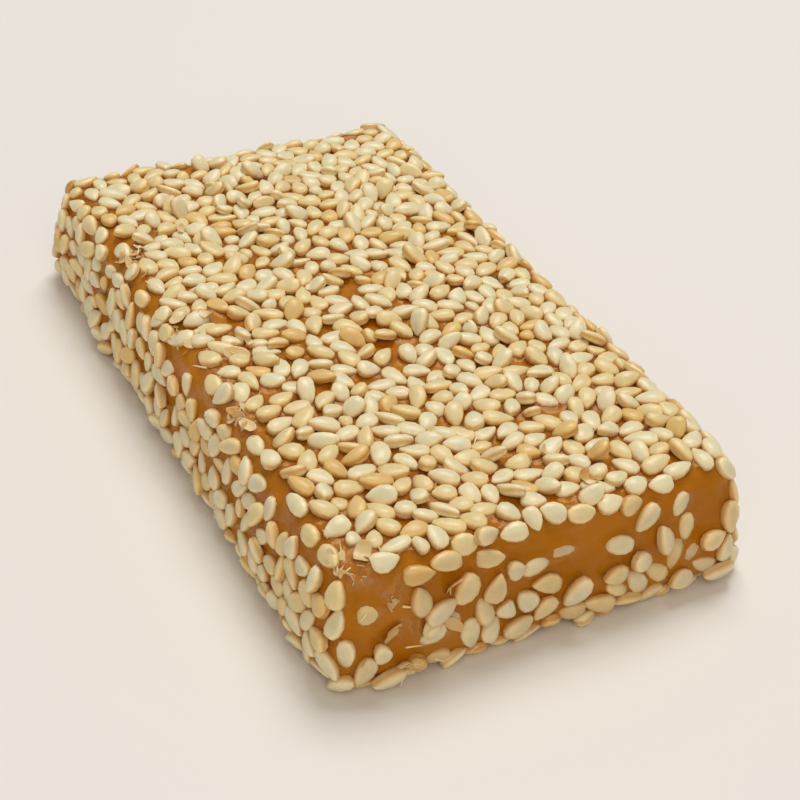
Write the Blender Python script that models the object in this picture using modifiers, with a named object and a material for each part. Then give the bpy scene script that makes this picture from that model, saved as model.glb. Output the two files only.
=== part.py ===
"""One piece of sesame chewy candy: a slab of pulled malt taffy, cut from a long strip and rolled in sesame.

The solid is the outline of the coated piece, out to the sesame. X runs across the piece, Y along it, from the
cut end in front (-Y) to the one behind, and Z up. The origin is the middle of the underside, which lies flat.
"""

from math import cos, pi, radians, sin

import bmesh
import bpy
from mathutils import Vector

MM = 0.001

# Driving dimensions of the coated slab.
WIDTH = 38.0 * MM
LENGTH = 66.0 * MM
THICKNESS = 11.0 * MM
EDGE_RADIUS = 2.2 * MM  # round of the edges between the faces
CORNER_RADIUS = 3.4 * MM  # round of the four upright corners, seen from above

# How far this piece strays from a true slab. The knife, the rolling board and the fingers leave these.
SIDE_LEAN = 1.3 * MM  # the long sides stand out this much more at the foot than at the top
FRONT_LEAN = 2.0 * MM  # the same for the cut end in front
BACK_LEAN = 0.8 * MM  # and for the one behind
SIDE_SWELL = 0.7 * MM  # swelling of all four walls halfway up
FOOT_SPREAD = 0.6 * MM  # how far the soft foot has spread over what it lies on
TOP_CROWN = 0.35 * MM  # rise of the top in its middle
HOLLOW_BACK = 1.0 * MM  # the cut end behind is hollow, seen from above
RAISED_CORNER = 0.4 * MM  # the right corner behind stands up

# Waves that rolling and pressing leave in the surface: spacing, heading seen from above, and phase.
WAVE_HEIGHT = 0.25 * MM
WAVES = (
    (29.0 * MM, radians(65), 0.6),
    (20.0 * MM, radians(20), 2.4),
    (14.0 * MM, radians(110), 4.1),
    (10.0 * MM, radians(150), 5.2),
)
FOOT_SHARE = 0.35  # the waves fade out below this share of the height, down to the flat underside

# The cage: cells across the flat of each face, and cells in the half of an edge's round that each face holds.
FLAT_CELLS = (8, 16, 1)
ROUND_CELLS = 2

TAFFY_AMBER = (0.296, 0.092, 0.008, 1.0)


def clear_scene():
    for old in list(bpy.data.objects):
        bpy.data.objects.remove(old, do_unlink=True)


def smooth_step(start, end, value):
    """0 before start, 1 after end, and a smooth rise in between."""
    share = min(max((value - start) / (end - start), 0.0), 1.0)
    return share * share * (3.0 - 2.0 * share)


def station(share, half_size, flat_cells):
    """Turns an even division of -1..1 into distances, with the outermost cells kept for the edge's round."""
    cells = flat_cells + 2 * ROUND_CELLS
    flat_share = flat_cells / cells
    flat_half = half_size - EDGE_RADIUS
    size = abs(share)
    if size <= flat_share:
        distance = flat_half * size / flat_share
    else:
        distance = flat_half + EDGE_RADIUS * (size - flat_share) / (1.0 - flat_share)
    return distance if share >= 0.0 else -distance


def inner_point(point, halves):
    """Nearest point of the slab shrunk by the edge radius, whose upright corners are round too."""
    turn = CORNER_RADIUS - EDGE_RADIUS
    shrunk = [half - EDGE_RADIUS for half in halves]
    clamped = [min(max(point[i], -shrunk[i]), shrunk[i]) for i in range(3)]
    centre = Vector([min(max(clamped[i], turn - shrunk[i]), shrunk[i] - turn) for i in range(2)])
    out = Vector(clamped[:2]) - centre
    if out.length > turn:
        out = out.normalized() * turn
    return Vector((centre.x + out.x, centre.y + out.y, clamped[2]))


def rounded_slab_point(unit):
    """A point of the unit cube carried to the round-edged slab that stands on z = 0, and the normal there."""
    halves = (WIDTH / 2, LENGTH / 2, THICKNESS / 2)
    on_box = Vector([station(unit[i], halves[i], FLAT_CELLS[i]) for i in range(3)])
    inner = inner_point(on_box, halves)
    normal = (on_box - inner).normalized()
    return inner + normal * EDGE_RADIUS + Vector((0.0, 0.0, halves[2])), normal


def surface_wave(point):
    """Mean of a few plane waves, from -WAVE_HEIGHT to WAVE_HEIGHT."""
    total = 0.0
    for spacing, heading, phase in WAVES:
        reach = point.x * cos(heading) + point.y * sin(heading) + point.z
        total += sin(2.0 * pi * reach / spacing + phase)
    return WAVE_HEIGHT * total / len(WAVES)


def shaped_by_hand(point, normal):
    """The true slab's point moved to where knife, board and fingers left it. The underside stays flat."""
    across = point.x / (WIDTH / 2)
    along = point.y / (LENGTH / 2)
    up = point.z / THICKNESS
    swell = SIDE_SWELL * (4.0 * up * (1.0 - up) - 1.0) + FOOT_SPREAD * (1.0 - up) ** 5
    moved = point + normal * surface_wave(point) * smooth_step(0.0, FOOT_SHARE, up)
    moved.x += across**3 * (swell - SIDE_LEAN * (up - 0.5))
    end_lean = FRONT_LEAN if along < 0.0 else BACK_LEAN
    moved.y += along**5 * (swell - end_lean * (up - 0.5))
    moved.y -= HOLLOW_BACK * (1.0 - across * across) * smooth_step(0.5, 1.0, along)
    moved.z += TOP_CROWN * up * (1.0 - across * across) * (1.0 - along**4)
    moved.z += RAISED_CORNER * up * smooth_step(0.3, 1.0, across) * smooth_step(0.7, 1.0, along)
    return moved


def centre_on_origin(cage):
    """Puts the middle of the outline, seen from above, over the origin."""
    for axis in range(2):
        reach = [vertex.co[axis] for vertex in cage.verts]
        middle = (min(reach) + max(reach)) / 2
        for vertex in cage.verts:
            vertex.co[axis] -= middle


def make_slab():
    """A cube cut into a grid, each of its points moved onto the slab, and smoothed by one subdivision."""
    cage = bmesh.new()
    bmesh.ops.create_cube(cage, size=2.0)
    for axis in range(3):
        cuts = FLAT_CELLS[axis] + 2 * ROUND_CELLS - 1
        edges = [e for e in cage.edges if abs((e.verts[0].co - e.verts[1].co)[axis]) > 1.0]
        bmesh.ops.subdivide_edges(cage, edges=edges, cuts=cuts, use_grid_fill=True)
    for vertex in cage.verts:
        vertex.co = shaped_by_hand(*rounded_slab_point(vertex.co))
    centre_on_origin(cage)
    mesh = bpy.data.meshes.new("candy")
    cage.to_mesh(mesh)
    cage.free()
    mesh.shade_smooth()
    slab = bpy.data.objects.new("candy", mesh)
    smoothing = slab.modifiers.new("Smooth skin", "SUBSURF")
    smoothing.levels = smoothing.render_levels = 1
    return slab


def coated_taffy():
    """Amber malt taffy, a little glossy."""
    material = bpy.data.materials.new("Malt taffy")
    material.use_nodes = True
    shader = material.node_tree.nodes["Principled BSDF"]
    shader.inputs["Base Color"].default_value = TAFFY_AMBER
    shader.inputs["Roughness"].default_value = 0.35
    shader.inputs["Metallic"].default_value = 0.0
    return material


def main():
    clear_scene()
    collection = bpy.data.collections.new("Sesame chewy candy")
    bpy.context.scene.collection.children.link(collection)
    slab = make_slab()
    slab.data.materials.append(coated_taffy())
    collection.objects.link(slab)


main()
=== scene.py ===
import bpy
import numpy as np
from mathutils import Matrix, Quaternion, Vector


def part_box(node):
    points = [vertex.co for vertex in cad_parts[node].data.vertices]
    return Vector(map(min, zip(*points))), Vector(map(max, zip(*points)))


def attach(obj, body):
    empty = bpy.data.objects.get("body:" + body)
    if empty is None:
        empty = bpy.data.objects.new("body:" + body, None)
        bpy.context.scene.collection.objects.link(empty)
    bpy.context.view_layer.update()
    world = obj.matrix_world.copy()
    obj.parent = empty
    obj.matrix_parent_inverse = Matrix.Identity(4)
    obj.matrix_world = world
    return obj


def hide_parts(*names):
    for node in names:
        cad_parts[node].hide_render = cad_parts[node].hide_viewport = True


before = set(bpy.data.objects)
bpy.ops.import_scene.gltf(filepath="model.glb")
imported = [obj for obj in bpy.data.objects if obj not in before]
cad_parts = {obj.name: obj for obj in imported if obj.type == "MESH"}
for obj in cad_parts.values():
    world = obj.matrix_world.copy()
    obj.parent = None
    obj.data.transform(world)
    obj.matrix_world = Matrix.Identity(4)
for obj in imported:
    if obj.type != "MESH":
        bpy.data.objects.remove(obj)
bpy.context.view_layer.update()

mm = 0.001
lowCorner, highCorner = (np.array(corner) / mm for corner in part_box("candy"))
slabSize = highCorner - lowCorner
print("frame loaded, candy", np.round(slabSize, 2), "mm")


def smoothStep(start, end, value):
    # 0 before start, 1 after end, and a smooth rise in between
    share = np.clip((value - start) / (end - start), 0.0, 1.0)
    return share * share * (3.0 - 2.0 * share)


def unit(vectors):
    # each vector divided by its length
    length = np.linalg.norm(vectors, axis=-1, keepdims=True)
    return vectors / np.maximum(length, 1e-9)


# The coated slab's outline, out to the sesame: the same form as the frame's solid. Lengths are in mm.
slab = {
    "edgeRadius": 2.2,
    "cornerRadius": 3.4,  # seen from above
    "sideLean": 1.3,  # the walls stand out this much more at the foot than at the top
    "frontLean": 2.0,
    "backLean": 0.8,
    "sideSwell": 0.7,
    "footSpread": 0.6,
    "topCrown": 0.35,
    "hollowBack": 1.0,
    "raisedCorner": 0.4,
    "waveHeight": 0.25,
    "waves": ((29.0, 65, 0.6), (20.0, 20, 2.4), (14.0, 110, 4.1), (10.0, 150, 5.2)),  # mm, degrees, phase
    "footShare": 0.35,  # below this share of the height the waves fade out
}


def innerPoint(points):
    # Nearest point of the slab shrunk by its edge radius, whose upright corners are round too: the point is
    # clamped to the shrunk box and, near a corner, drawn in to a circle. z counts from the slab's middle.
    turn = slab["cornerRadius"] - slab["edgeRadius"]
    shrunk = slabSize / 2 - slab["edgeRadius"]
    clamped = np.clip(points, -shrunk, shrunk)
    centre = np.clip(clamped[:, :2], turn - shrunk[:2], shrunk[:2] - turn)
    out = clamped[:, :2] - centre
    length = np.maximum(np.linalg.norm(out, axis=1, keepdims=True), 1e-9)
    return np.column_stack((centre + out * np.minimum(1.0, turn / length), clamped[:, 2]))


def surfaceWave(points):
    # mean of a few plane waves, faded out towards the flat underside
    total = 0.0
    for spacing, heading, phase in slab["waves"]:
        turn = np.radians(heading)
        reach = points[:, 0] * np.cos(turn) + points[:, 1] * np.sin(turn) + points[:, 2]
        total = total + np.sin(2.0 * np.pi * reach / spacing + phase)
    fade = smoothStep(0.0, slab["footShare"], points[:, 2] / slabSize[2])
    return slab["waveHeight"] * total / len(slab["waves"]) * fade


def handShape(points):
    # How far knife, board and fingers moved each point of the true slab. Each side's middle height stands
    # out and its top leans in, by shares that grow as a power of how far out the point is. The far end is
    # hollow, and the top is crowned as 1 minus powers of x and y. z counts from the underside.
    across = points[:, 0] / slabSize[0] * 2
    along = points[:, 1] / slabSize[1] * 2
    up = points[:, 2] / slabSize[2]
    swell = slab["sideSwell"] * (4.0 * up * (1.0 - up) - 1.0) + slab["footSpread"] * (1.0 - up) ** 5
    x = across**3 * (swell - slab["sideLean"] * (up - 0.5))
    endLean = np.where(along < 0.0, slab["frontLean"], slab["backLean"])
    y = along**5 * (swell - endLean * (up - 0.5))
    y = y - slab["hollowBack"] * (1.0 - across**2) * smoothStep(0.5, 1.0, along)
    z = slab["topCrown"] * up * (1.0 - across**2) * (1.0 - along**4)
    z = z + slab["raisedCorner"] * up * smoothStep(0.3, 1.0, across) * smoothStep(0.7, 1.0, along)
    return np.column_stack((x, y, z))


def slabPoint(onBox, inset):
    # A point of the box is carried straight away from the slab's inner box, until it is the edge radius less
    # the inset from it, which rounds the edges. Then the wave is added along that way, and the hand shape.
    inner = innerPoint(onBox)
    way = unit(onBox - inner)
    halfUp = np.array((0.0, 0.0, slabSize[2] / 2))
    points = inner + way * (slab["edgeRadius"] - inset)[:, None] + halfUp
    points = points + way * surfaceWave(points)[:, None]
    return points + handShape(points), way


def boxLattice(stations):
    # The points of a box whose sides are divided at the given stations, and its outward quads. A corner's
    # key counts the lattice row by row, so that equal keys are one point.
    counts = [len(s) for s in stations]
    corners = []
    for axis in range(3):
        b, c = (axis + 1) % 3, (axis + 2) % 3
        rows, columns = np.meshgrid(np.arange(counts[b] - 1), np.arange(counts[c] - 1), indexing="ij")
        for side in (0, 1):
            quad = np.zeros((rows.size, 4, 3), dtype=np.int64)
            quad[:, :, axis] = side * (counts[axis] - 1)
            quad[:, :, b] = rows.ravel()[:, None] + np.array((0, 1, 1, 0))
            quad[:, :, c] = columns.ravel()[:, None] + np.array((0, 0, 1, 1))
            corners.append(quad if side else quad[:, ::-1])
    corners = np.concatenate(corners)
    keys = (corners[:, :, 0] * counts[1] + corners[:, :, 1]) * counts[2] + corners[:, :, 2]
    used, faces = np.unique(keys, return_inverse=True)
    faces = faces.reshape(keys.shape)
    steps = np.column_stack(np.unravel_index(used, counts))
    points = np.column_stack([stations[axis][steps[:, axis]] for axis in range(3)])
    return points, faces


def boxStations(spacing):
    # stations along each side: even on the flat, and at even angles round the edges
    radius = slab["edgeRadius"]
    roundSteps = max(2, round(radius * np.pi / 4 / spacing))
    bend = radius * np.tan(np.linspace(0.0, np.pi / 4, roundSteps + 1)[1:])
    stations = []
    for half in slabSize / 2:
        flat = half - radius
        middle = np.linspace(-flat, flat, round(2 * flat / spacing) + 1)
        stations.append(np.concatenate((-flat - bend[::-1], middle, flat + bend)))
    return stations


# The form's own box is fitted to the frame's, so that both outlines agree.
sample, _ = boxLattice(boxStations(1.0))
sample, _ = slabPoint(sample, np.zeros(len(sample)))
fitScale = slabSize / (sample.max(axis=0) - sample.min(axis=0))
fitShift = lowCorner - sample.min(axis=0) * fitScale


def outlineDistance(points):
    # Distance to the coated outline, below zero inside, and the way out. The hand shape is found again and
    # taken off in three rounds. What is left is the distance from the inner box less the edge radius and
    # the wave.
    fitted = (points - fitShift) / fitScale
    local = fitted
    for _ in range(3):
        local = fitted - handShape(local)
    centred = local - np.array((0.0, 0.0, slabSize[2] / 2))
    out = centred - innerPoint(centred)
    reach = np.linalg.norm(out, axis=1)
    return reach - slab["edgeRadius"] - surfaceWave(local), unit(out)


def pairsWithin(points, others, reach):
    # all pairs of a point and another nearer than reach: both are sorted into cubes of that size
    low = np.minimum(points.min(axis=0), others.min(axis=0)) - reach
    spans = np.ceil((np.maximum(points.max(axis=0), others.max(axis=0)) - low) / reach).astype(np.int64) + 2
    cells = ((points - low) / reach).astype(np.int64)
    otherCells = ((others - low) / reach).astype(np.int64)
    keys = (cells[:, 0] * spans[1] + cells[:, 1]) * spans[2] + cells[:, 2]
    otherKeys = (otherCells[:, 0] * spans[1] + otherCells[:, 1]) * spans[2] + otherCells[:, 2]
    order = np.argsort(otherKeys, kind="stable")
    otherKeys = otherKeys[order]
    firsts, seconds = [], []
    for dx in (-1, 0, 1):
        for dy in (-1, 0, 1):
            start = np.searchsorted(otherKeys, keys + (dx * spans[1] + dy) * spans[2] - 1, "left")
            count = np.searchsorted(otherKeys, keys + (dx * spans[1] + dy) * spans[2] + 1, "right") - start
            first = np.repeat(np.arange(len(points)), count)
            place = np.arange(count.sum()) - np.repeat(np.cumsum(count) - count, count)
            second = order[np.repeat(start, count) + place]
            near = ((points[first] - others[second]) ** 2).sum(axis=1) < reach * reach
            firsts.append(first[near])
            seconds.append(second[near])
    return np.concatenate(firsts), np.concatenate(seconds)


# How the sesame lies. Lengths are in mm. Bare patches, where the taffy shows, are x, y, z and a radius.
coat = {
    "depth": 0.85,  # from the outline down to the taffy
    "spacing": 1.34,  # of seeds where the density is 1
    "uneven": (0.85, 1.15),  # how much the room each seed finds varies
    "tries": 17000,  # darts thrown
    "onEnds": 0.47,  # density on the cut ends, as a share of the top's
    "onSides": 0.75,
    "wallBand": (0.55, 0.85),  # how far the way out points sideways, from edge to wall
    "topBand": (0.5, 0.9),  # and how far up, from edge to top
    "footBand": (1.8, 3.6),  # height over which the thick cover of the foot ends
    "behind": 1.20,  # density at the far end of the top
    "behindBand": (0.0, 30.0),  # y over which it sets in
    "atLeft": 0.80,  # and along the left edge of the top, which the fingers pulled
    "leftBand": (12.0, 16.0),  # -x over which it sets in
    "leftEnd": (20.0, 26.0),  # y over which it ends
    "leftHeight": (8.0, 9.6),  # z over which it sets in
    "patchEdge": (0.7, 1.25),  # part of its radius over which a patch ends
    "endWay": 0.8,  # where the way out points more than this along y, it is a cut end
    "sink": 0.24,  # how deep a seed is pressed into the taffy
    "sinkSpread": 0.07,
    "drowned": 0.35,  # share of the seeds on the cut ends that are pressed in deeper
    "drownedSink": 0.42,  # by this much at most
    "drownedLeast": 0.3,  # and by this share of it at least
    "proud": 0.12,  # and the others there lie this much higher
    "tilt": 17.0,  # degrees from flat on the top
    "tiltOnWalls": 0.6,  # as a share of the top's
    "tiltBand": (0.3, 0.9),  # how far up the way out points, from wall to top
    "leaning": 0.10,  # share of seeds that stick at a steep angle
    "leaningTilt": (25.0, 45.0),
    "fall": 0.35,  # height of the seeds over the taffy before they settle
    "lift": 0.3,  # and what is added to it at most
    "piled": 0.15,  # share of seeds that fall on top of others
    "piledLift": 1.3,
    "broken": 0.06,  # share of chips and short seeds
    "brokenLength": (0.45, 0.65),  # as a share of the whole seed's
    "largerOnEnds": 0.08,  # the cut ends, being stickier, hold the largest seeds
    "rounds": 170,
    "searchEvery": 5,  # rounds from one search for neighbours to the next
    "searchMargin": 0.2,
    "pull": 0.05,  # what the taffy draws a bead in one round at most
    "touch": 0.18,  # a bead this near to its place touches the taffy
    "holds": 2,  # touching beads that hold a seed
    "worstOverlap": 0.27,  # of two beads, past which the looser seed falls off
    "barePatches": (
        (8.0, -5.2, 11.3, 1.8), (-0.4, -6.2, 11.3, 1.9), (-2.8, -5.9, 11.3, 1.4),
        (-0.8, 2.8, 11.3, 1.9), (-5.2, 2.6, 11.3, 1.4), (12.6, 1.0, 11.2, 1.6), (10.6, -1.2, 11.2, 1.2),
        (5.0, 7.0, 11.3, 1.5), (3.4, 17.4, 11.3, 1.4), (0.4, 24.0, 11.2, 1.7), (14.0, 24.4, 11.0, 1.4),
        (11.4, 29.4, 10.8, 2.0), (-6.0, 29.0, 10.8, 2.0), (7.4, -11.8, 11.3, 1.4),
        (4.8, -13.4, 11.3, 1.3), (9.8, -10.2, 11.3, 1.2), (-2.4, -12.6, 11.3, 1.3),
        (-3.2, -15.2, 11.3, 1.4), (-13.4, -21.4, 11.2, 1.4), (-8.2, -22.2, 11.3, 1.2),
        (1.6, -24.6, 11.3, 1.2), (-16.8, 19.0, 10.4, 1.6), (-15.0, 17.2, 11.0, 1.5),
        (-16.0, 14.8, 10.8, 2.0), (-17.2, 12.0, 10.4, 1.8), (-17.4, 8.6, 10.2, 1.4),
        (-13.4, 4.2, 11.2, 1.7), (-15.6, 2.0, 11.0, 1.4), (-17.4, -0.2, 10.2, 1.7),
        (-16.2, -3.4, 10.9, 1.5), (-16.8, -9.0, 10.6, 1.9), (-16.4, -11.8, 10.8, 1.7),
        (-18.2, -20.6, 9.6, 1.8), (-15.6, -29.2, 10.8, 2.0), (-14.8, -31.4, 9.8, 2.2),
        (-13.0, -32.4, 5.6, 2.9), (-9.6, -32.2, 7.4, 1.5), (-7.0, -31.8, 9.4, 1.7),
        (-4.0, -31.8, 9.4, 1.7), (2.6, -32.2, 6.8, 2.5), (3.4, -31.8, 9.4, 1.7), (8.6, -31.6, 9.8, 1.6),
        (13.6, -31.8, 9.2, 2.9),
    ),
}


def bareness(points, patches):
    # 1 in the middle of a patch, 0 outside all of them, and a smooth fall round the radius of each
    bare = np.zeros(len(points))
    for x, y, z, radius in patches:
        away = np.linalg.norm(points - np.array((x, y, z)), axis=1)
        bare = np.maximum(bare, 1.0 - smoothStep(*coat["patchEdge"], away / radius))
    return bare


def seedDensity(points, ways):
    # 1 where the sesame lies thick; thinner on the walls, but not at their foot, and thickest at the far end
    foot = 1.0 - smoothStep(*coat["footBand"], points[:, 2])
    onEnd = smoothStep(*coat["wallBand"], np.abs(ways[:, 1])) * (1.0 - foot)
    onSide = smoothStep(*coat["wallBand"], np.abs(ways[:, 0])) * (1.0 - foot)
    behind = smoothStep(*coat["behindBand"], points[:, 1]) * smoothStep(*coat["topBand"], ways[:, 2])
    atLeft = smoothStep(*coat["leftBand"], -points[:, 0]) * smoothStep(*coat["leftHeight"], points[:, 2])
    atLeft = atLeft * (1.0 - smoothStep(*coat["leftEnd"], points[:, 1]))
    density = 1.0 + onEnd * (coat["onEnds"] - 1.0) + onSide * (coat["onSides"] - 1.0)
    density = density + behind * (coat["behind"] - 1.0)
    return density * (1.0 + atLeft * (coat["atLeft"] - 1.0))


def scatterPlaces(rng):
    # Darts are thrown evenly on the box's faces and carried to the taffy. One too near an earlier one is
    # dropped: the room it needs is the spacing by its own unevenness over the root of the density there.
    half = slabSize / 2
    areas = np.array([half[1] * half[2], half[2] * half[0], half[0] * half[1]])
    axis = rng.choice(3, size=coat["tries"], p=areas / areas.sum())
    darts = rng.uniform(-1.0, 1.0, (coat["tries"], 3)) * half
    side = rng.choice((-1.0, 1.0), coat["tries"])
    darts[np.arange(len(darts)), axis] = side * half[axis]
    places, ways = slabPoint(darts, np.full(len(darts), coat["depth"]))
    places = places * fitScale + fitShift
    density = seedDensity(places, ways)
    covered = rng.uniform(0.0, 1.0, len(places)) > bareness(places, coat["barePatches"])
    uneven = rng.uniform(*coat["uneven"], len(places))
    kept = np.empty((0, 3))
    chosen = []
    for i in np.flatnonzero(covered):
        room = coat["spacing"] * uneven[i] / density[i] ** 0.5
        if len(kept) == 0 or ((kept - places[i]) ** 2).sum(axis=1).min() > room * room:
            chosen.append(i)
            kept = places[chosen]
    return places[chosen], ways[chosen]


# One seed as hulled sesame: a flat teardrop. Two numbers that stand together are a mean and its spread, and
# lengths are in mm.
seed = {
    "length": 2.47,
    "lengthSpread": 0.22,
    "widthShare": 0.66,
    "widthSpread": 0.045,
    "thickness": 1.09,
    "thicknessSpread": 0.09,
    "oddest": 2.0,  # spreads from the mean at most
    "egg": (0.24, 0.08),  # how much fuller the round end is
    "point": (0.26, 0.13),  # how pointed the tip is
    "dish": (0.16, 0.20),  # how hollow the upper face is, as a share of half the thickness
    "bend": (0.0, 0.07),  # up or down at both ends
    "curve": (0.0, 0.09),  # to one side at both ends
    "twist": (0.0, 0.10),  # radians at each end
    "widthPower": 0.86,  # how bluntly the width ends at the round end
    "thickPower": 0.7,  # and the thickness at both
    "thickEnd": 0.12,  # how much thicker the round end is
    "section": (0.88, 0.80),  # powers, across and over, that make the round section a little square
    "dishPower": 1.5,
    "rimPower": 1.6,
    "wetBand": (0.05, 0.5),  # height over the taffy where a seed's surface turns from wet to dry
    "film": 0.6,  # syrup smeared over the seeds of the cut ends, at most
    "filmOdds": (1.5, 4.0),  # of a beta distribution
    "filmBand": (0.5, 0.9),  # how far the seed faces along y, from none to all of it
    "toneOdds": (2.0, 4.5),  # of the colour between pale and straw
    "rings": 5,
    "around": 10,
    "beads": (  # stand for the seed while the coat settles: x, y and radius
        (-0.86, 0.0, 0.40), (-0.52, 0.33, 0.42), (-0.52, -0.33, 0.42), (0.0, 0.38, 0.44), (0.0, -0.38, 0.44),
        (-0.10, 0.0, 0.54), (0.48, 0.24, 0.40), (0.48, -0.24, 0.40), (0.92, 0.0, 0.32),
    ),
    "beadSeed": (2.52, 1.68, 1.13),  # the seed size that the beads are given for
}


def turnAbout(axes, angles):
    # rotation matrices from unit axes and angles, by the rule of Rodrigues
    x, y, z = axes.T
    zero = np.zeros_like(x)
    cross = np.stack((zero, -z, y, z, zero, -x, -y, x, zero), axis=1).reshape(-1, 3, 3)
    sine, cosine = np.sin(angles)[:, None, None], np.cos(angles)[:, None, None]
    return np.eye(3) + sine * cross + (1.0 - cosine) * (cross @ cross)


def framesOn(rng, ways):
    # axes of what lies flat on the taffy: the first points anywhere along the surface, the third out of it
    along = unit(np.cross(ways, rng.normal(size=ways.shape)))
    return np.stack((along, np.cross(ways, along), ways), axis=2)


def tipped(frames, heading, angle):
    # frames turned by the angle about their own flat axis at right angles to the heading, whose side rises
    axes = np.column_stack((np.sin(heading), -np.cos(heading), np.zeros(len(heading))))
    return frames @ turnAbout(axes, angle)


def carried(shape, frames, middles):
    # each item's points turned by its frame and moved to its middle
    return middles[:, None, :] + shape @ frames.transpose(0, 2, 1)


def settleCoat(rng, places, ways):
    # Seeds are rigid sets of beads. In each round the beads are drawn to the taffy, pushed out of each
    # other, out of the taffy below their sink and up from the table, and then each seed takes the rigid
    # place that fits its beads best.
    count = len(places)
    odds = np.clip(rng.normal(size=(count, 3)), -seed["oddest"], seed["oddest"])
    sizes = np.column_stack((
        seed["length"] + seed["lengthSpread"] * odds[:, 0],
        seed["length"] * (seed["widthShare"] + seed["widthSpread"] * odds[:, 1]),
        seed["thickness"] + seed["thicknessSpread"] * odds[:, 2],
    ))
    onEnd = np.abs(ways[:, 1]) > coat["endWay"]
    sizes *= 1.0 + coat["largerOnEnds"] * onEnd[:, None]
    broken = rng.uniform(size=count) < coat["broken"]
    sizes[broken, 0] *= rng.uniform(*coat["brokenLength"], broken.sum())
    plan = np.array(seed["beads"])
    ratio = sizes / np.array(seed["beadSeed"])
    beads = np.zeros((count, len(plan), 3))
    beads[:, :, :2] = plan[None, :, :2] * ratio[:, None, :2]
    radii = plan[None, :, 2] * ratio[:, 2:]
    beads -= beads.mean(axis=1, keepdims=True)

    # A seed sticks where it lands, so each keeps a tilt: its beads are held higher by the sine of the tilt
    # times how far they are from its lowest side.
    tilt = np.abs(rng.normal(0.0, coat["tilt"], count))
    leaning = rng.uniform(size=count) < coat["leaning"]
    tilt[leaning] = rng.uniform(*coat["leaningTilt"], leaning.sum())
    onTop = smoothStep(*coat["tiltBand"], ways[:, 2])
    tilt = np.radians(tilt) * (coat["tiltOnWalls"] + (1.0 - coat["tiltOnWalls"]) * onTop)
    raisedSide = rng.uniform(0.0, 2.0 * np.pi, count)
    across = beads[:, :, 0] * np.cos(raisedSide)[:, None] + beads[:, :, 1] * np.sin(raisedSide)[:, None]
    hold = np.tan(tilt)[:, None] * (across - across.min(axis=1, keepdims=True)) * np.cos(tilt)[:, None]

    frames = tipped(framesOn(rng, ways), raisedSide, tilt)
    piled = rng.uniform(size=count) < coat["piled"]
    lift = rng.uniform(0.0, 1.0, count) * np.where(piled, coat["piledLift"], coat["lift"])
    centres = places + ways * (coat["fall"] + lift)[:, None] + ways * (hold.mean(axis=1))[:, None]
    sink = coat["sink"] + rng.normal(0.0, coat["sinkSpread"], count)
    drowned = onEnd & (rng.uniform(size=count) < coat["drowned"])
    sink = sink + drowned * rng.uniform(coat["drownedLeast"], 1.0, count) * coat["drownedSink"]
    sink = sink - onEnd * ~drowned * coat["proud"]

    spots = carried(beads, frames, centres)
    owner = np.repeat(np.arange(count), len(plan))
    flatRadii = radii.ravel()
    needed = (radii - sink[:, None] + hold).ravel()
    reach = 2.0 * flatRadii.max() + coat["searchMargin"]
    for step in range(coat["rounds"]):
        points = spots.reshape(-1, 3)
        if step % coat["searchEvery"] == 0:
            first, second = pairsWithin(points, points, reach)
            apart = owner[first] < owner[second]
            first, second = first[apart], second[apart]
        distance, out = outlineDistance(points)
        spare = distance + coat["depth"] - needed
        move = -out * np.clip(spare, None, coat["pull"])[:, None]
        gap = points[first] - points[second]
        length = np.maximum(np.linalg.norm(gap, axis=1), 1e-6)
        overlap = np.maximum(flatRadii[first] + flatRadii[second] - length, 0.0)
        push = gap * (0.5 * overlap / length)[:, None]
        for axis in range(3):
            move[:, axis] += np.bincount(first, push[:, axis], len(points))
            move[:, axis] -= np.bincount(second, push[:, axis], len(points))
        points = points + move
        points[:, 2] = np.maximum(points[:, 2], flatRadii)
        spots = points.reshape(count, -1, 3)
        middle = spots.mean(axis=1, keepdims=True)
        spread = (spots - middle).transpose(0, 2, 1) @ beads
        left, _, right = np.linalg.svd(spread)
        flip = np.ones((count, 3))
        flip[:, 2] = np.linalg.det(left @ right)
        frames = (left * flip[:, None, :]) @ right
        spots = carried(beads, frames, middle[:, 0])

    points = spots.reshape(-1, 3)
    distance, _ = outlineDistance(points)
    touching = (distance + coat["depth"] - needed < coat["touch"]).reshape(count, -1).sum(axis=1)
    length = np.linalg.norm(points[first] - points[second], axis=1)
    overlap = flatRadii[first] + flatRadii[second] - length
    kept = touching >= coat["holds"]
    tooDeep = overlap > coat["worstOverlap"]
    for a, b in zip(owner[first[tooDeep]], owner[second[tooDeep]]):
        if kept[a] and kept[b]:
            kept[b if touching[b] < touching[a] else a] = False
    meanOverlap = overlap[overlap > 0].mean()
    print("seeds kept", kept.sum(), "of", count, "with a mean overlap of", round(meanOverlap, 3), "mm")
    return spots.mean(axis=1)[kept], frames[kept], sizes[kept], spots[kept], radii[kept]


def tubeGrid(plan, span):
    # steps along a tube from 0 to span, first and last of which are its poles, and even angles round it
    along = np.linspace(0.0, span, plan["rings"] + 2)[None, :, None]
    phi = (np.arange(plan["around"]) * 2 * np.pi / plan["around"])[None, None, :]
    return along, phi


def closePoles(grid):
    # each item's grid as one row of points or values, in which its first and last ring are a single one
    rings = grid[:, 1:-1].reshape(len(grid), -1, *grid.shape[3:])
    return np.concatenate((grid[:, 0, :1], rings, grid[:, -1, :1]), axis=1)


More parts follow.
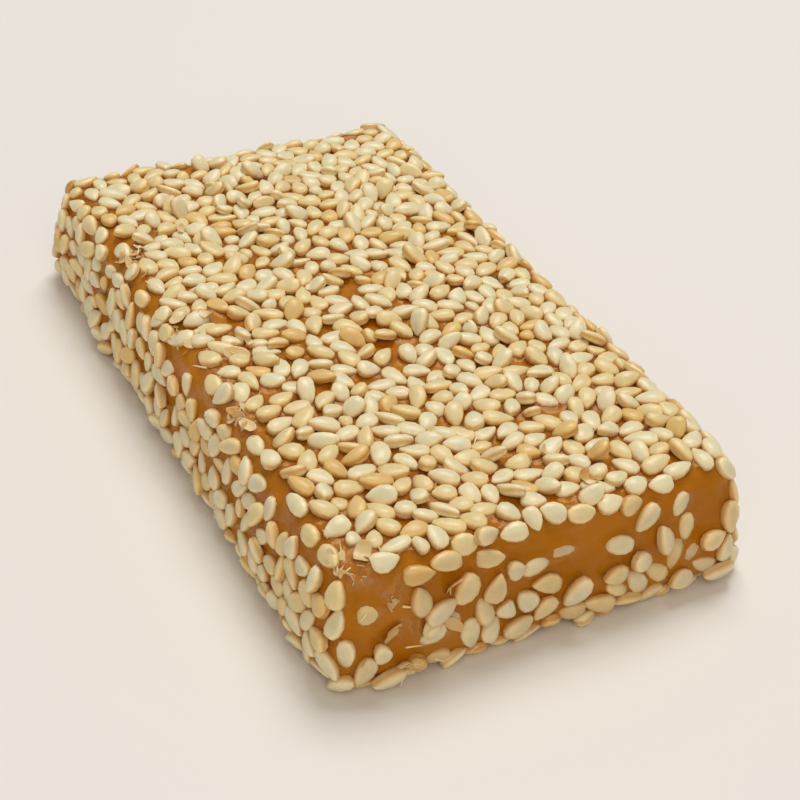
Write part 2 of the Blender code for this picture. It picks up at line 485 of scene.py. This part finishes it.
def tubeFaces(count, rings, around):
    # quads between the rings and triangles at both poles, in the order of closePoles, repeated for each item
    perItem = 2 + rings * around
    ring = np.arange(rings - 1)[:, None] * around
    step = np.arange(around)[None, :]
    nextStep = (step + 1) % around
    upper = ring + around
    quads = np.stack((ring + step, ring + nextStep, upper + nextStep, upper + step), axis=-1) + 1
    quads = quads.reshape(-1, 4)
    start = np.column_stack((np.zeros(around, int), nextStep[0] + 1, step[0] + 1))
    last = 1 + (rings - 1) * around
    end = np.column_stack((np.full(around, perItem - 1), last + step[0], last + nextStep[0]))
    tris = np.vstack((start, end))
    offset = (np.arange(count) * perItem)[:, None, None]
    return (quads[None] + offset).reshape(-1, 4), (tris[None] + offset).reshape(-1, 3)


def writeMesh(name, points, faceSets, material, looks):
    # points in mm to a smooth mesh in metres; looks are values kept at its points for its material
    mesh = bpy.data.meshes.new(name)
    faces = [face for faceSet in faceSets for face in faceSet.tolist()]
    mesh.from_pydata((points * mm).tolist(), [], faces)
    mesh.shade_smooth()
    for key, values in looks.items():
        attribute = mesh.attributes.new(key, "FLOAT", "POINT")
        attribute.data.foreach_set("value", np.ravel(values).astype(np.float32))
    mesh.materials.append(material)
    piece = bpy.data.objects.new(name, mesh)
    bpy.context.scene.collection.objects.link(piece)
    print(name, len(mesh.polygons), "faces")
    return piece


def writeTubes(name, points, plan, material, looks):
    # one mesh of many closed tubes, each a row of points
    faces = tubeFaces(len(points), plan["rings"], plan["around"])
    return writeMesh(name, points.reshape(-1, 3), faces, material, looks)


def seedShapes(rng, sizes):
    # Each seed's surface over two angles: theta along it from the round end to the tip, phi round it. Half
    # width and half thickness are powers of sin(theta) and fuller at the round end, the section is a
    # squarish ellipse, and the upper face is dished. Then the seed is twisted, and bent by the square of
    # the way from its middle. The rim is 1 round the seed's edge and 0 in the middle of both faces.
    theta, phi = tubeGrid(seed, np.pi)
    names = ("egg", "point", "dish", "bend", "curve", "twist")
    odds = (rng.normal(*seed[name], len(sizes))[:, None, None] for name in names)
    egg, point, dish, bend, curve, twist = odds
    half = sizes[:, :, None, None] / 2
    sine, cosine = np.maximum(np.sin(theta), 0.0), np.cos(theta)
    power = seed["widthPower"] + point * (1.0 - cosine)
    swell = (1.0 + egg * cosine) / (1.0 + 0.4 * egg**2)  # the divisor keeps the greatest width
    halfWidth = half[:, 1] * sine**power * swell
    halfThick = half[:, 2] * sine ** seed["thickPower"] * (1.0 + seed["thickEnd"] * cosine)
    around, over = np.cos(phi), np.sin(phi)
    squareAcross, squareOver = seed["section"]
    x = -half[:, 0] * cosine + 0.0 * phi
    y = halfWidth * np.sign(around) * np.abs(around) ** squareAcross
    z = halfThick * np.sign(over) * np.abs(over) ** squareOver
    inward = (1.0 - np.abs(around)) ** seed["dishPower"]
    z = z - np.abs(dish) * halfThick * np.where(over > 0.0, inward, 0.0) * sine**2
    share = x / half[:, 0]
    y, z = y + twist * share * z, z - twist * share * y
    y = y + curve * (share**2 - 0.4)  # 0.4 keeps the seed's mean height where it was
    z = z + bend * (share**2 - 0.4)
    faces = (1.0 - np.abs(around) ** seed["rimPower"]) * sine ** seed["thickPower"]
    rim = 1.0 - faces * np.ones_like(x)
    return closePoles(np.stack((x, y, z), axis=3)), closePoles(rim)


def hexColour(text):
    # sRGB hex to linear: each channel is divided by 12.92 where it is dark, else shifted and raised to 2.4
    value = np.array([int(text[i:i + 2], 16) for i in (1, 3, 5)]) / 255
    linear = np.where(value <= 0.04045, value / 12.92, ((value + 0.055) / 1.055) ** 2.4)
    return (*linear, 1.0)


def perMetre(size):
    # scale of a pattern whose spots are this many mm apart
    return 1.0 / (size * mm)


def setInputs(tree, node, inputs):
    # an input that is given as a socket is linked, and any other is set
    for key, value in inputs.items():
        if isinstance(value, bpy.types.NodeSocket):
            tree.links.new(value, node.inputs[key])
        else:
            node.inputs[key].default_value = value


def addNode(tree, kind, inputs=None, **settings):
    # a new node with its settings and inputs
    node = tree.nodes.new("ShaderNode" + kind)
    for key, value in settings.items():
        setattr(node, key, value)
    setInputs(tree, node, inputs or {})
    return node


def newMaterial(name):
    # an empty material, its nodes and its shader
    material = bpy.data.materials.new(name)
    material.use_nodes = True
    tree = material.node_tree
    return material, tree, tree.nodes["Principled BSDF"]


# Hulled white sesame, lightly toasted: a matt, waxy seed coat with a little oil on it, pale in the middle
# of the flat face, creamy towards its edge and golden on the thin rim. That darker gold is partly the seed's
# own colour and partly painted shade where its edge curves away from the light. Where a seed dips into the
# taffy, it is amber.
sesameLook = {"pale": "#E2DCB8", "straw": "#E2D6A6", "cream": "#F6E5B8", "rim": "#D8AE66", "wet": "#B87A2A"}
creamLook = {"pale": "#E2D4A2", "straw": "#E0C88A", "cream": "#F4DA9E", "rim": "#D4A252", "wet": "#B87A2A"}
goldenLook = {"pale": "#E4C688", "straw": "#DCB068", "cream": "#ECC97E", "rim": "#C88E3E", "wet": "#B06E20"}
sesameFinish = {
    "cream": {"From Min": 0.15, "From Max": 0.6},  # from the face's middle, 0, to the seed's edge, 1
    "rim": {"From Min": 0.76, "From Max": 1.0, "To Max": 0.95},
    "wet": 0.85,  # share of the syrup's colour where a seed is wet
    "mottle": 1.1,  # mm between spots
    "shade": {"From Min": 0.3, "From Max": 0.7, "To Min": 0.92, "To Max": 1.05},  # of the spots
    "bump": 0.06,  # mm
    "bumpStrength": 0.25,
    "roughness": 0.36,
    "ior": 1.46,
    "glow": 0.2,  # share of light that goes through the seed
    "glowColours": (1.0, 0.6, 0.28),
    "glowReach": 0.5,  # mm
}


def sesameMaterial(name, look):
    # pale to straw by each seed's tone, then cream and rim towards the edge, then syrup, and all mottled
    material, tree, shader = newMaterial(name)
    finish = sesameFinish
    keys = ("tone", "rim", "wet")
    tone, rim, wet = (addNode(tree, "Attribute", attribute_name=key).outputs["Fac"] for key in keys)
    place = addNode(tree, "TexCoord").outputs["Object"]
    spots = {"Vector": place, "Scale": perMetre(finish["mottle"]), "Detail": 3.0}
    mottle = addNode(tree, "TexNoise", spots).outputs["Fac"]
    cream = addNode(tree, "MapRange", {"Value": rim, **finish["cream"]}).outputs["Result"]
    # the rim's darker gold: partly the seed's own, partly painted shade at its edge
    edge = addNode(tree, "MapRange", {"Value": rim, **finish["rim"]}).outputs["Result"]
    soaked = addNode(tree, "Math", {0: wet, 1: finish["wet"]}, operation="MULTIPLY").outputs[0]
    face = hexColour(look["pale"])
    for factor, part in ((tone, "straw"), (cream, "cream"), (edge, "rim"), (soaked, "wet")):
        mix = {"Factor": factor, 6: face, 7: hexColour(look[part])}
        face = addNode(tree, "Mix", mix, data_type="RGBA").outputs[2]
    shade = addNode(tree, "MapRange", {"Value": mottle, **finish["shade"]}).outputs["Result"]
    bump = {"Height": mottle, "Strength": finish["bumpStrength"], "Distance": finish["bump"] * mm}
    setInputs(tree, shader, {
        "Base Color": addNode(tree, "HueSaturation", {"Color": face, "Value": shade}).outputs["Color"],
        "Normal": addNode(tree, "Bump", bump).outputs["Normal"],
        "Roughness": finish["roughness"],
        "IOR": finish["ior"],
        "Subsurface Weight": finish["glow"],
        "Subsurface Radius": finish["glowColours"],
        "Subsurface Scale": finish["glowReach"] * mm,
    })
    return material


# Pulled malt taffy: boiled maltose and sugar, amber, see-through for a few millimetres, with a wet gloss.
# Pulling leaves streaks in it. Where it is full of tiny air bubbles, it is cloudy, paler and less glossy.
taffyLook = {
    "amber": "#BE7811",
    "deep": "#AA6812",
    "cloudy": "#BE9266",
    # painted shade: a dark brown for the gaps round the seeds and for the spots of painted shadow
    "paintedShade": "#783C16",
    "gleam": "#FFD498",
    "streak": (11.0, 6.2, 2.4),  # mm along x, y and z
    "streaks": {"From Min": 0.3, "From Max": 0.7},
    "froth": 0.7,  # mm between the curds of air
    "curds": {"From Min": 0.4, "From Max": 0.6, "To Min": 0.2},
    "paintedShadeRange": {"From Min": 0.25, "From Max": 1.4, "To Max": 1.0},
    "dent": 1.4,  # mm between the dents of the skin
    "dentDepth": 0.22,  # mm
    "dents": {"To Min": 0.3, "To Max": 1.0},  # share of that depth, from clear to cloudy
    "roughness": {"To Min": 0.2, "To Max": 0.22},  # from clear to cloudy
    "ior": 1.49,
    "gleamLevel": 0.28,
    "glow": 0.5,  # share of light that goes through the taffy
    "glowColours": (1.0, 0.5, 0.12),
    "glowReach": 1.2,  # mm
}


def taffyMaterial():
    # deep to amber in streaks, then painted shade round the seeds, then cloudy curds, which also dent and
    # roughen it
    material, tree, shader = newMaterial("Malt taffy")
    look = taffyLook
    keys = ("cloudy", "paintedShade")
    cloudy, paintedShade = (addNode(tree, "Attribute", attribute_name=key).outputs["Fac"] for key in keys)
    place = addNode(tree, "TexCoord").outputs["Object"]
    spread = {"Vector": place, "Scale": [perMetre(size) for size in look["streak"]]}
    stretched = addNode(tree, "Mapping", spread).outputs["Vector"]
    streaks = addNode(tree, "TexNoise", {"Vector": stretched, "Scale": 1.0, "Detail": 4.0}).outputs["Fac"]
    streaks = addNode(tree, "MapRange", {"Value": streaks, **look["streaks"]}).outputs["Result"]
    froth = {"Vector": place, "Scale": perMetre(look["froth"]), "Detail": 2.0}
    curds = addNode(tree, "TexNoise", froth).outputs["Fac"]
    curds = addNode(tree, "MapRange", {"Value": curds, **look["curds"]}).outputs["Result"]
    patchy = addNode(tree, "Math", {0: cloudy, 1: curds}, operation="MULTIPLY").outputs[0]
    paintedShade = addNode(tree, "MapRange", {"Value": paintedShade, **look["paintedShadeRange"]}).outputs["Result"]
    body = hexColour(look["deep"])
    for factor, part in ((streaks, "amber"), (paintedShade, "paintedShade"), (patchy, "cloudy")):
        mix = {"Factor": factor, 6: body, 7: hexColour(look[part])}
        body = addNode(tree, "Mix", mix, data_type="RGBA").outputs[2]
    dents = {"Vector": place, "Scale": perMetre(look["dent"]), "Detail": 3.0}
    dimples = addNode(tree, "TexNoise", dents).outputs["Fac"]
    dimples = addNode(tree, "Math", {0: dimples, 1: patchy}, operation="ADD").outputs[0]
    depth = addNode(tree, "MapRange", {"Value": cloudy, **look["dents"]}).outputs["Result"]
    bump = {"Height": dimples, "Strength": depth, "Distance": look["dentDepth"] * mm}
    gloss = {"Value": cloudy, **look["roughness"]}
    setInputs(tree, shader, {
        "Base Color": body,
        "Normal": addNode(tree, "Bump", bump).outputs["Normal"],
        "Roughness": addNode(tree, "MapRange", gloss).outputs["Result"],
        "IOR": look["ior"],
        "Specular IOR Level": look["gleamLevel"],
        "Specular Tint": hexColour(look["gleam"]),
        "Subsurface Weight": look["glow"],
        "Subsurface Radius": look["glowColours"],
        "Subsurface Scale": look["glowReach"] * mm,
    })
    return material


# The taffy core, as deep under the outline as the sesame coat, drawn up round each seed that is pressed into
# it. Lengths are in mm. Lumps are folds of taffy that the hands pulled up: x, y, z, half length, half width,
# heading in degrees, height and cloudiness. Spots of painted shadow are x, y, z and a radius.
core = {
    "spacing": 0.28,
    "climb": 0.20,  # how far the taffy climbs up a seed
    "climbReach": 0.32,
    # painted shade round the seeds, standing for the shade that falls in the gaps between them; on the walls
    # it is a share of the top's
    "paintedShadeOnWalls": 0.12,  # how dark the creases round the seeds are, as a share of the top's
    "paintedShadeBand": (0.5, 0.95),  # how far up the way out points, from wall to top
    "lumps": (
        (-15.8, 14.8, 10.9, 3.0, 0.9, 66, 0.85, 1.0),
        (-13.5, 4.0, 11.3, 1.8, 0.9, 80, 0.55, 0.8),
        (-16.6, -10.3, 10.8, 2.8, 1.2, 75, 0.70, 0.9),
        (-16.2, -3.6, 10.9, 2.0, 0.8, 80, 0.50, 0.7),
        (-15.4, -30.0, 10.4, 2.2, 1.3, 60, 0.60, 0.8),
        (-13.8, -32.2, 8.4, 1.8, 1.1, 80, 0.45, 0.8),
        (-12.0, -32.4, 5.2, 1.6, 1.2, 20, 0.35, 0.6),
        (-9.4, -32.3, 3.6, 1.4, 0.8, 160, 0.30, 0.5),
        (0.6, -32.0, 9.7, 0.8, 0.6, 0, 0.40, 0.9),
        (-3.4, -15.0, 11.3, 1.4, 0.7, 30, 0.35, 0.6),
        (7.5, -11.8, 11.3, 2.8, 0.6, 45, 0.45, 0.7),
        (2.6, -24.6, 11.3, 1.2, 0.7, 150, 0.35, 0.6),
        (-0.6, 2.9, 11.3, 1.5, 0.6, 85, 0.35, 0.5),
    ),
    "wrinkle": 0.85,  # spacing of the wrinkles across a lump
    "wrinkleDepth": 0.25,  # as a share of its height
    "waver": (0.35, 2.6),  # how far the wrinkles swing, and how often
    # painted shadow: spots where the taffy is painted darker, for the shadow in deep gaps
    "paintedShadowSpots": ((12.4, 0.8, 11.2, 1.1), (3.4, 17.4, 11.3, 0.9), (0.4, 24.0, 11.2, 0.9)),
    "bubbles": 90,
    "bubbleStray": 0.5,  # from the middle of a bare patch, as a share of its radius
    "bubbleRadius": (0.16, 0.34),
    "bubbleRise": 0.6,  # as a share of the radius
}


def lumpAt(points):
    # Height of the lumps at each point, and how cloudy the taffy is there. Each is a bell over a long
    # ellipse, ruffled by sine wrinkles across it, and its cloud is 1.5 times the bell, 1 at most.
    swing, pace = core["waver"]
    height = np.zeros(len(points))
    cloudy = np.zeros(len(points))
    for x, y, z, halfLength, halfWidth, heading, rise, cloudiness in core["lumps"]:
        away = points - np.array((x, y, z))
        turn = np.radians(heading)
        along = away[:, 0] * np.cos(turn) + away[:, 1] * np.sin(turn)
        across = away[:, 1] * np.cos(turn) - away[:, 0] * np.sin(turn)
        off = (along / halfLength) ** 2 + (across / halfWidth) ** 2 + (away[:, 2] / halfWidth) ** 2
        share = np.exp(-off)
        wrinkles = np.sin(2.0 * np.pi * (along + swing * np.sin(pace * across + x)) / core["wrinkle"])
        height = height + rise * share * (1.0 - core["wrinkleDepth"] * (1.0 - wrinkles))
        cloudy = np.maximum(cloudy, cloudiness * np.minimum(1.0, 1.5 * share))
    return height, cloudy


def bubbleAt(rng, points):
    # height of the domes of air bubbles just under the skin, near the bare patches: a bell over each
    patches = np.array(coat["barePatches"])
    chosen = patches[rng.integers(len(patches), size=core["bubbles"])]
    middles = chosen[:, :3] + rng.normal(size=(len(chosen), 3)) * chosen[:, 3:] * core["bubbleStray"]
    distance, out = outlineDistance(middles)
    middles = middles - out * (distance + coat["depth"])[:, None]
    radii = rng.uniform(*core["bubbleRadius"], len(middles))
    near, bubble = pairsWithin(points, middles, 3.0 * core["bubbleRadius"][1])
    away = np.linalg.norm(points[near] - middles[bubble], axis=1) / radii[bubble]
    height = np.zeros(len(points))
    np.maximum.at(height, near, core["bubbleRise"] * radii[bubble] * np.exp(-(away**2) * 1.5))
    return height


def makeCore(rng, spots, radii, material):
    # The outline set in by the coat's depth. It rises by a bell of the gap to the nearest bead or by a
    # bubble's dome, whichever is higher, and by the lumps. Round the seeds, most on top, shade is painted
    # darker into its colour, and so it is in the spots of painted shadow.
    onBox, faces = boxLattice(boxStations(core["spacing"]))
    points, ways = slabPoint(onBox, np.full(len(onBox), coat["depth"]))
    points = points * fitScale + fitShift
    beads, beadRadii = spots.reshape(-1, 3), radii.ravel()
    near, bead = pairsWithin(points, beads, beadRadii.max() + 3 * core["climbReach"])
    gap = np.linalg.norm(points[near] - beads[bead], axis=1) - beadRadii[bead]
    rise = core["climb"] * np.exp(-((np.maximum(gap, 0.0) / core["climbReach"]) ** 2))
    lift = np.zeros(len(points))
    np.maximum.at(lift, near, rise)
    lumps, cloudy = lumpAt(points)
    points = points + ways * (np.maximum(lift, bubbleAt(rng, points)) + lumps)[:, None]
    onTop = smoothStep(*core["paintedShadeBand"], ways[:, 2])
    # painted shade: darker near each seed and most on top, with the spots of painted shadow added
    paintedShade = lift / core["climb"] * (core["paintedShadeOnWalls"] + (1.0 - core["paintedShadeOnWalls"]) * onTop)
    paintedShade = paintedShade + bareness(points, core["paintedShadowSpots"])
    return writeMesh("taffy", points, [faces], material, {"cloudy": cloudy, "paintedShade": paintedShade})


def seedSurface(rng, sizes, centres, frames):
    # points of every seed where it lies, how near each is to the seed's edge, and how wet it is: by its
    # height over the taffy, or all over by a film of syrup on the cut ends
    count = len(sizes)
    shape, rim = seedShapes(rng, sizes)
    shape[..., 1:] *= rng.choice((-1.0, 1.0), count)[:, None, None]  # half of them lie face down
    points = carried(shape, frames, centres)
    points[:, :, 2] -= np.minimum(points[:, :, 2].min(axis=1), 0.0)[:, None]  # no seed reaches into the table
    height, _ = outlineDistance(points.reshape(-1, 3))
    wet = 1.0 - smoothStep(*seed["wetBand"], height + coat["depth"]).reshape(count, -1)
    onEnd = smoothStep(*seed["filmBand"], np.abs(frames[:, 1, 2]))
    film = onEnd * seed["film"] * rng.beta(*seed["filmOdds"], count)
    return points, rim, np.maximum(wet, film[:, None])


rng = np.random.default_rng(7)
places, ways = scatterPlaces(rng)
print("places", len(places))
centres, frames, sizes, spots, radii = settleCoat(rng, places, ways)
points, rim, wet = seedSurface(rng, sizes, centres, frames)
tone = rng.beta(*seed["toneOdds"], len(sizes))

# Three kinds of seed lie in the coat: piece, material, colours and share.
kinds = (
    ("whiteSesame", "Hulled white sesame", sesameLook, 0.58),
    ("creamSesame", "Hulled sesame, barely toasted", creamLook, 0.35),
    ("goldenSesame", "Hulled sesame, toasted", goldenLook, 0.07),
)
kindOf = rng.choice(len(kinds), size=len(sizes), p=[kind[3] for kind in kinds])
taffy = taffyMaterial()
for i, (name, materialName, look, _) in enumerate(kinds):
    chosen = kindOf == i
    seedTone = np.repeat(tone[chosen], points.shape[1])
    looks = {"tone": seedTone, "rim": rim[chosen], "wet": wet[chosen]}
    piece = writeTubes(name, points[chosen], seed, sesameMaterial(materialName, look), looks)
    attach(piece, "root")
coreMesh = makeCore(rng, spots, radii, taffy)
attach(coreMesh, "root")
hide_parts("candy")


def stickPlaces(rng, zones):
    # places on the taffy, thrown within each zone's box and carried straight to it, and the way out there
    middles = np.concatenate([np.tile(zone[:3], (zone[6], 1)) for zone in zones])
    reach = np.concatenate([np.tile(zone[3:6], (zone[6], 1)) for zone in zones])
    points = middles + rng.uniform(-1.0, 1.0, middles.shape) * reach
    distance, out = outlineDistance(points)
    return points - out * (distance + coat["depth"])[:, None], out


# Loose skins of the hulled seeds: thin curled flakes that stick to the taffy. Lengths are in mm. A zone is
# x, y, z, its reach along each, and how many stick there.
skin = {
    "zones": (
        (-15.0, -30.0, 11.0, 2.5, 2.5, 1.0, 12),
        (-12.5, -34.0, 5.0, 4.5, 1.0, 3.0, 9),
        (-17.0, -10.0, 11.0, 1.5, 3.0, 0.5, 8),
        (-16.0, 2.0, 11.0, 2.5, 4.0, 0.5, 10),
        (-16.5, 14.0, 11.0, 1.5, 5.0, 0.5, 8),
        (0.0, 0.0, 13.0, 16.0, 29.0, 0.0, 20),
        (0.0, 34.0, 6.0, 15.0, 1.0, 3.5, 5),
    ),
    "length": (1.2, 2.4),
    "widthShare": (0.35, 0.65),
    "thickness": 0.09,
    "curl": (0.3, 1.9),  # how far each half turns up, in radians
    "cup": (0.1, 0.5),  # how far the width is cupped, as a share of the half width
    "ripple": 0.06,
    "height": (0.15, 0.65),  # of the middle over the taffy
    "tilt": (5.0, 50.0),  # degrees
    "rings": 6,
    "around": 10,
    "pale": "#EED9A8",
    "golden": "#D9A860",
    "roughness": 0.4,
    "glow": 0.3,
    "glowReach": 0.4,  # mm
}


def makeSkins(rng):
    # A skin over two angles, as the seeds: x is -cos(theta), and y and z lie on a flat ellipse. Its length
    # is then rolled along a circle, x = sin(curl * share) / curl and z = (1 - cos(curl * share)) / curl,
    # its width is cupped by the square of y, and a sine ripples it.
    places, ways = stickPlaces(rng, skin["zones"])
    count = len(places)
    theta, phi = tubeGrid(skin, np.pi)
    half = rng.uniform(*skin["length"], count)[:, None, None] / 2
    halfWidth = half * rng.uniform(*skin["widthShare"], count)[:, None, None]
    share = -np.cos(theta) + 0.0 * phi
    y = halfWidth * np.sin(theta) * np.cos(phi)
    z = skin["thickness"] / 2 * np.sin(theta) ** 0.5 * np.sin(phi) + 0.0 * halfWidth
    cup = rng.uniform(*skin["cup"], count)[:, None, None]
    curl = rng.uniform(*skin["curl"], count)[:, None, None]
    z = z + cup * halfWidth * (y / halfWidth) ** 2 + half * (1.0 - np.cos(curl * share)) / curl
    z = z + skin["ripple"] * np.sin(5.0 * share + 3.0 * y / halfWidth)
    x = half * np.sin(curl * share) / curl
    shape = closePoles(np.stack((x, y, z), axis=3))
    tilts = np.radians(rng.uniform(*skin["tilt"], count))
    frames = framesOn(rng, ways)
    frames = tipped(frames, rng.uniform(0.0, 2.0 * np.pi, count), tilts)
    middles = places + ways * rng.uniform(*skin["height"], count)[:, None]
    points = carried(shape, frames, middles)
    tone = np.repeat(rng.uniform(0.0, 1.0, count), points.shape[1])
    material, tree, shader = newMaterial("Sesame skin")
    shade = addNode(tree, "Attribute", attribute_name="tone").outputs["Fac"]
    mix = {"Factor": shade, 6: hexColour(skin["pale"]), 7: hexColour(skin["golden"])}
    setInputs(tree, shader, {
        "Base Color": addNode(tree, "Mix", mix, data_type="RGBA").outputs[2],
        "Roughness": skin["roughness"],
        "Subsurface Weight": skin["glow"],
        "Subsurface Scale": skin["glowReach"] * mm,
    })
    return writeTubes("sesameSkin", points, skin, material, {"tone": tone})


# Threads of root tip and drawn-out syrup that stand off the coat. Lengths are in mm, zones as for the skins.
thread = {
    "zones": (
        (-12.5, -34.0, 8.0, 3.5, 1.0, 2.0, 5),
        (-9.0, -34.0, 2.5, 4.5, 1.0, 1.5, 6),
        (-16.0, -29.0, 11.0, 2.0, 3.5, 0.5, 5),
        (-17.0, 2.0, 11.0, 1.5, 14.0, 0.5, 5),
        (0.0, 0.0, 13.0, 16.0, 29.0, 0.0, 8),
    ),
    "length": (0.8, 1.7),
    "radius": (0.07, 0.14),
    "thinning": 0.7,  # how much thinner the free end is
    "tip": 8.0,  # both ends close over one part in this many of the length
    "bow": 0.6,  # up or down at most
    "sway": 0.4,  # sideways at most
    "tilt": (45.0, 80.0),  # degrees from straight up
    "start": 0.35,  # height over the taffy
    "rings": 5,
    "around": 6,
    "colour": "#F0DCA8",
    "roughness": 0.35,
}


def makeThreads(rng):
    # Each thread is a tube along an arc: x is length * share, and y and z are sway and bow times
    # share * (1 - share). Its radius thins towards the free end and closes at both.
    places, ways = stickPlaces(rng, thread["zones"])
    count = len(places)
    share, phi = tubeGrid(thread, 1.0)
    length = rng.uniform(*thread["length"], count)[:, None, None]
    radius = rng.uniform(*thread["radius"], count)[:, None, None] * (1.0 - thread["thinning"] * share)
    tip = thread["tip"]
    radius = radius * np.minimum(1.0, tip * share) * np.minimum(1.0, tip * (1.0 - share))
    bow = rng.uniform(-thread["bow"], thread["bow"], count)[:, None, None]
    sway = rng.uniform(-thread["sway"], thread["sway"], count)[:, None, None]
    x = length * share + 0.0 * phi
    y = radius * np.cos(phi) + sway * share * (1.0 - share)
    z = radius * np.sin(phi) + bow * share * (1.0 - share)
    shape = closePoles(np.stack((x, y, z), axis=3))
    tilts = rng.uniform(*thread["tilt"], count)
    frames = framesOn(rng, ways)
    flatAxis = np.tile((0.0, 1.0, 0.0), (count, 1))
    frames = frames @ turnAbout(flatAxis, np.radians(tilts - 90.0))
    points = carried(shape, frames, places + ways * thread["start"])
    material, tree, shader = newMaterial("Root tips and drawn syrup")
    setInputs(tree, shader, {"Base Color": hexColour(thread["colour"]), "Roughness": thread["roughness"]})
    return writeTubes("thread", points, thread, material, {})


for piece in (makeSkins(rng), makeThreads(rng)):
    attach(piece, "root")

# The studio: a plain pale floor, a key light behind the candy, a soft fill before it, and the camera.
studio = {
    "floor": "#E9E4DE",
    "floorRoughness": 0.6,
    "floorReach": 3000.0,  # mm
    "camera": (-59.2, -109.4, 90.7),  # mm
    "aim": (0.7, -5.2, 4.0),
    "roll": 4.6,  # degrees
    "lens": 76.5,
    "key": (0.21, 0.31, 0.80),  # m
    "keySize": 0.45,
    "keyPower": 4.85,
    "keyColour": (1.0, 1.0, 1.0),
    "fill": (-0.28, -0.62, 0.60),
    "fillSize": 0.8,
    "fillPower": 3.15,
    "fillColour": (1.0, 0.87, 0.68),
    "sky": 0.28,
}


def addLamp(name):
    # a square light at its place, turned to shine at the origin
    light = bpy.data.lights.new(name, "AREA")
    light.energy = studio[name + "Power"]
    light.color = studio[name + "Colour"]
    light.size = studio[name + "Size"]
    place = Vector(studio[name])
    lamp = bpy.data.objects.new(name, light)
    lamp.location = place
    lamp.rotation_euler = (-place).to_track_quat("-Z", "Y").to_euler()
    bpy.context.scene.collection.objects.link(lamp)


def makeStudio():
    # the floor is one square round the origin, and the camera is turned to its aim and rolled a little
    corners = np.array(((-1, -1, 0), (1, -1, 0), (1, 1, 0), (-1, 1, 0))) * studio["floorReach"]
    material, tree, shader = newMaterial("Matt backdrop")
    setInputs(tree, shader, {"Base Color": hexColour(studio["floor"]), "Roughness": studio["floorRoughness"]})
    floor = writeMesh("floor", corners, [np.array([(0, 1, 2, 3)])], material, {})
    addLamp("key")
    addLamp("fill")
    world = bpy.data.worlds.new("studio")
    world.use_nodes = True
    sky = {"Color": (1.0, 1.0, 1.0, 1.0), "Strength": studio["sky"]}
    setInputs(world.node_tree, world.node_tree.nodes["Background"], sky)
    bpy.context.scene.world = world
    bpy.context.scene.view_settings.view_transform = "Standard"

    lens = bpy.data.cameras.new("camera")
    lens.lens = studio["lens"]
    camera = bpy.data.objects.new("camera", lens)
    place = Vector(studio["camera"]) * mm
    camera.location = place
    facing = (Vector(studio["aim"]) * mm - place).to_track_quat("-Z", "Y")
    camera.rotation_euler = (facing @ Quaternion((0.0, 0.0, 1.0), np.radians(studio["roll"]))).to_euler()
    bpy.context.scene.collection.objects.link(camera)
    bpy.context.scene.camera = camera
    print("studio ready")


makeStudio()
